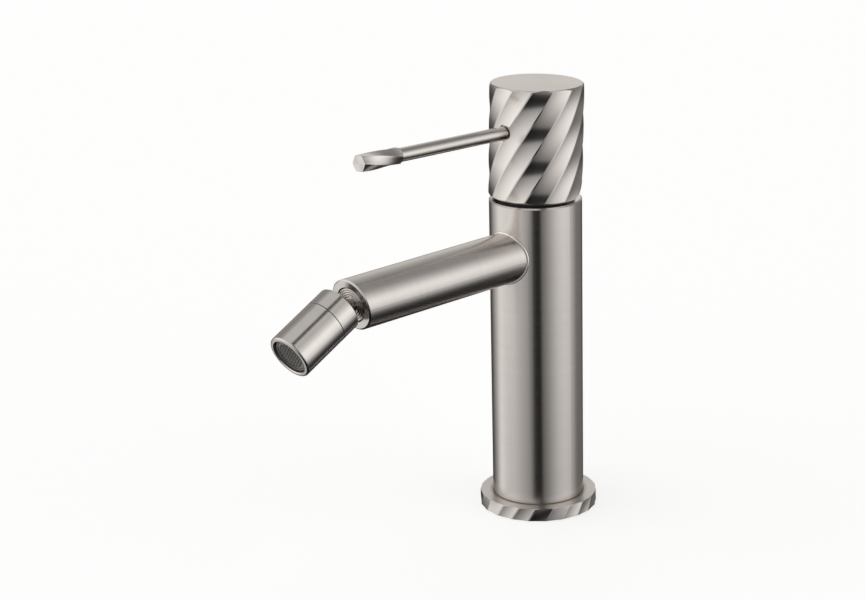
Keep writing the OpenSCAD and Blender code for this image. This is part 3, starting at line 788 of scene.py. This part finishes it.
def make_shade_rings():
    """Dark rubber rings as painted shade: a joint at the column's foot, dark for the shadow of its groove;
    black rubber in the gap round the flange; and a dark line between collar and sleeve for the shadow of
    their joint.
    """
    # Painted shade: a rubber joint at the column's foot, its dark colour standing in for the groove's
    # shadow.
    inner, outer, top = COLUMN_R - 0.02, COLUMN_R + JOINT, RING_H + JOINT
    lip = [
        (inner, RING_H - JOINT),
        (outer, RING_H - JOINT),
        (outer, RING_H + 0.03),
        (COLUMN_R + 0.05, top),
        (inner, top),
    ]
    banded("foot_joint_shade", lip, None, "column", joint_shade_rubber)
    # Painted shade: black rubber in the gap round the flange, where there is only shadow.
    inner, outer, low, high = FLANGE_R + 0.02, SEAT_R - 0.02, -1.4, -0.5
    gap = [(inner, low), (outer, low), (outer, high), (inner, high)]
    banded("flange_gap_shade", gap, STEM_PLACE, "column", black_rubber)
    # Painted shade: a dark ring for the shadow line between collar and sleeve.
    inner, outer, low, high = NOZZLE_R - 0.3, NOZZLE_R + 0.01, COLLAR_LEN - 0.1, COLLAR_LEN + 0.22
    crown = (NOZZLE_R + 0.04, (low + high) / 2)
    line = [(inner, low), (outer, low), crown, (outer, high), (inner, high)]
    banded("collar_shade_line", line, NOZZLE_PLACE, "nozzle", black_rubber)


def mesh_wire(turn, side, half, radius, height):
    """One wire across the outlet."""
    place_wire = (
        Matrix.Rotation(math.radians(turn), 4, "Z")
        @ Matrix.Translation((0, side, height))
        @ Matrix.Rotation(math.radians(90), 4, "Y")
    )
    return to_mesh(plug(radius, -half, half, place_wire, 10), "wire")


def make_mesh():
    """Wire mesh of the outlet with its rim, in darkened steel as painted shade."""
    top = AERATOR_TOP - 0.3
    bm = square_ring(MESH_R - MESH_RIM, MESH_R, top - MESH_RIM, top)
    count = math.floor(MESH_R / MESH_PITCH)
    for turn, radius in MESH_WIRES:
        for i in range(-count, count + 1):
            side = i * MESH_PITCH
            half = math.sqrt(max(0.0, (MESH_R - 0.3) ** 2 - side * side))
            if half < 1:
                continue
            wire = mesh_wire(turn, side, half, radius, top - MESH_RIM / 2)
            bm.from_mesh(wire)
            bpy.data.meshes.remove(wire)
    bm.transform(NOZZLE_PLACE)
    piece = add_object("outlet_mesh", to_mesh(bm, "outlet_mesh"))
    smooth(piece, 60)
    place(piece, "nozzle", shaded_mesh_steel, "steel", "aerator_mesh")


make_cap()
make_ring()
make_grip()
make_spout_seam()
make_ball_stem()
make_shade_rings()
make_mesh()


# Studio

# Brightness round the horizon by azimuth, 0 towards -Y and 90 towards +X, and its share by elevation
HORIZON = [
    (-180, 0.22),
    (-165, 0.28),
    (-150, 0.54),
    (-137, 0.70),
    (-122, 0.42),
    (-110, 0.22),
    (-98, 0.21),
    (-80, 0.57),
    (-60, 0.97),
    (-38, 1.0),
    (-18, 0.97),
    (-3, 0.80),
    (13, 0.62),
    (33, 0.38),
    (53, 0.18),
    (66, 0.32),
    (82, 0.60),
    (98, 0.88),
    (115, 1.0),
    (128, 0.96),
    (140, 0.74),
    (152, 0.40),
    (162, 0.24),
    (180, 0.22),
]
PROFILE = [
    (-90, 0.03),
    (-45, 0.04),
    (-36, 0.09),
    (-29, 0.22),
    (-20, 0.53),
    (-11, 0.72),
    (0, 0.86),
    (9, 0.89),
    (17, 0.82),
    (26, 0.63),
    (36, 0.42),
    (48, 0.20),
    (65, 0.0),
    (90, 0.0),
]
# Light from above by elevation, dimmer towards the rear
TOP = [(0, 0.0), (25, 0.05), (45, 0.21), (60, 0.44), (90, 0.46)]
REAR = [(0.25, 0.0), (0.6, 1.0)]
REAR_DIM = 0.55
# Dark corner low at the left rear
LEFT_REAR = (-0.707, 0.707, 0.0)
LEFT_REAR_EDGE = [(0.72, 0.0), (0.9, 1.0)]
LEFT_REAR_DIM = 0.85
LEFT_REAR_TOP = 0.15
# Light that comes back from low at the left
BOUNCE_TOWARDS = (-0.698, -0.321, -0.640)
BOUNCE = [(0.93, 0.0), (0.985, 0.49)]
# Dark strip between the soft boxes, wider lower down
GAP_NORMAL = (-0.662, -0.720, 0.207)
GAP_FRONT = (0.707, -0.707, 0.0)
GAP_HALF = 0.146
GAP_EDGE = 0.188
GAP_TAPER = 0.48
GAP_DEPTH = 0.945
STUDIO_LEVEL = 1.5
STUDIO_TONE = (1.0, 0.995, 0.985, 1)
WHITE = (1, 1, 1, 1)
FLOOR_SIZE = 6.0
FLOOR_TONE = (0.6, 0.6, 0.6, 1)
FLOOR_GLOW = 0.64


def soft_boxes(nodes, direction):
    """Light round the horizon and from above."""
    x, y, z = nodes.parts(direction)
    azimuth = nodes.math("ARCTAN2", x, nodes.math("MULTIPLY", y, -1.0))
    around = nodes.math("ADD", nodes.math("DIVIDE", azimuth, 2 * math.pi), 0.5)
    height = nodes.math("ADD", nodes.math("DIVIDE", nodes.math("ARCSINE", z), math.pi), 0.5)
    horizon = nodes.ramp(around, [((a + 180) / 360, v) for a, v in HORIZON])
    profile = nodes.ramp(height, [((e + 90) / 180, v) for e, v in PROFILE])
    top = nodes.ramp(height, [((e + 90) / 180, v) for e, v in TOP])
    rear = nodes.less(nodes.math("MULTIPLY", nodes.ramp(y, REAR), REAR_DIM))
    return nodes.math("ADD", nodes.math("MULTIPLY", horizon, profile), nodes.math("MULTIPLY", top, rear))


def left_rear_shade(nodes, direction):
    """What the dark corner at the left rear leaves of the light."""
    z = nodes.parts(direction)[2]
    low = nodes.ramp(nodes.math("SUBTRACT", LEFT_REAR_TOP, z), [(0.05, 0.0), (0.3, LEFT_REAR_DIM)])
    corner = nodes.ramp(nodes.dot(direction, LEFT_REAR), LEFT_REAR_EDGE)
    return nodes.less(nodes.math("MULTIPLY", low, corner))


def gap_shade(nodes, direction):
    """What the dark strip leaves of the light."""
    z = nodes.parts(direction)[2]
    taper = nodes.less(nodes.math("MULTIPLY", z, GAP_TAPER))
    across = nodes.math("DIVIDE", nodes.math("ABSOLUTE", nodes.dot(direction, GAP_NORMAL)), taper)
    inside = nodes.ramp(across, [(0.0, 1.0), (GAP_HALF, 1.0), (GAP_EDGE, 0.0)])
    facing = nodes.ramp(nodes.dot(direction, GAP_FRONT), [(0.0, 0.0), (0.08, 1.0)])
    return nodes.less(nodes.math("MULTIPLY", nodes.math("MULTIPLY", inside, facing), GAP_DEPTH))


def background(nodes, colour, strength):
    node = nodes.add("ShaderNodeBackground")
    node.inputs["Color"].default_value = colour
    if isinstance(strength, float):
        node.inputs["Strength"].default_value = strength
    else:
        nodes.link(strength, node.inputs["Strength"])
    return node


def mixed_shader(nodes, factor, first, second):
    node = nodes.add("ShaderNodeMixShader")
    nodes.link(factor, node.inputs[0])
    nodes.link(first.outputs[0], node.inputs[1])
    nodes.link(second.outputs[0], node.inputs[2])
    return node


def studio_world():
    """Soft boxes to the left and right of the camera with a dark strip between them, and a dim top.

    Only the eye sees white instead, so the white adds no light to the object.
    """
    world = bpy.data.worlds.new("studio")
    world.use_nodes = True
    bpy.context.scene.world = world
    nodes = Nodes(world.node_tree)
    direction = nodes.coords("Generated")
    light = nodes.math("MULTIPLY", soft_boxes(nodes, direction), left_rear_shade(nodes, direction))
    light = nodes.math("ADD", light, nodes.ramp(nodes.dot(direction, BOUNCE_TOWARDS), BOUNCE))
    light = nodes.math("MULTIPLY", light, gap_shade(nodes, direction))
    studio = background(nodes, STUDIO_TONE, nodes.math("MULTIPLY", light, STUDIO_LEVEL))
    path = nodes.add("ShaderNodeLightPath")
    seen = nodes.math("MAXIMUM", path.outputs["Is Camera Ray"], path.outputs["Is Transmission Ray"])
    nodes.finish(mixed_shader(nodes, seen, studio, background(nodes, WHITE, 1.0)), "ShaderNodeOutputWorld")


def floor_material():
    """Pale matt floor that glows for the eye only, and that the metal doesn't mirror."""
    material, nodes = new_material("pale_floor")
    path = nodes.add("ShaderNodeLightPath")
    matt = nodes.add("ShaderNodeBsdfDiffuse")
    matt.inputs["Color"].default_value = FLOOR_TONE
    glow = nodes.add("ShaderNodeEmission")
    nodes.link(nodes.math("MULTIPLY", path.outputs["Is Camera Ray"], FLOOR_GLOW), glow.inputs["Strength"])
    lit = nodes.add("ShaderNodeAddShader")
    nodes.link(matt.outputs[0], lit.inputs[0])
    nodes.link(glow.outputs[0], lit.inputs[1])
    clear = nodes.add("ShaderNodeBsdfTransparent")
    nodes.finish(mixed_shader(nodes, path.outputs["Is Glossy Ray"], lit, clear))
    return material


def studio_floor():
    bm = bmesh.new()
    bmesh.ops.create_grid(bm, x_segments=1, y_segments=1, size=FLOOR_SIZE / 2)
    floor = bpy.data.objects.new("floor", to_mesh(bm, "floor"))
    bpy.context.scene.collection.objects.link(floor)
    floor.location.z = cad_box[0][2] - 0.02 * MM
    floor.data.materials.append(floor_material())


def photo_camera():
    """Camera at the photograph's angle, fitted to the object's outlines."""
    azimuth = math.radians(46.03)
    elevation = math.radians(17.38)
    roll = math.radians(-1.32)
    target = Vector((-31.34, -32.48, 94.23)) * MM
    distance = 1058.57 * MM
    level = Vector((math.sin(azimuth), -math.cos(azimuth), 0))
    back = math.cos(elevation) * level + math.sin(elevation) * UP
    right = Vector((math.cos(azimuth), math.sin(azimuth), 0))
    up = back.cross(right)
    turned_right = math.cos(roll) * right + math.sin(roll) * up
    turned_up = -math.sin(roll) * right + math.cos(roll) * up
    data = bpy.data.cameras.new("camera")
    data.lens = 101.44
    data.sensor_width = 36.0
    data.clip_start = 0.01
    camera = bpy.data.objects.new("camera", data)
    pose = Matrix((turned_right, turned_up, back)).transposed().to_4x4()
    pose.translation = target + back * distance
    camera.matrix_world = pose
    bpy.context.scene.collection.objects.link(camera)
    bpy.context.scene.camera = camera


studio_world()
studio_floor()
photo_camera()
bpy.context.scene.view_settings.view_transform = "Standard"
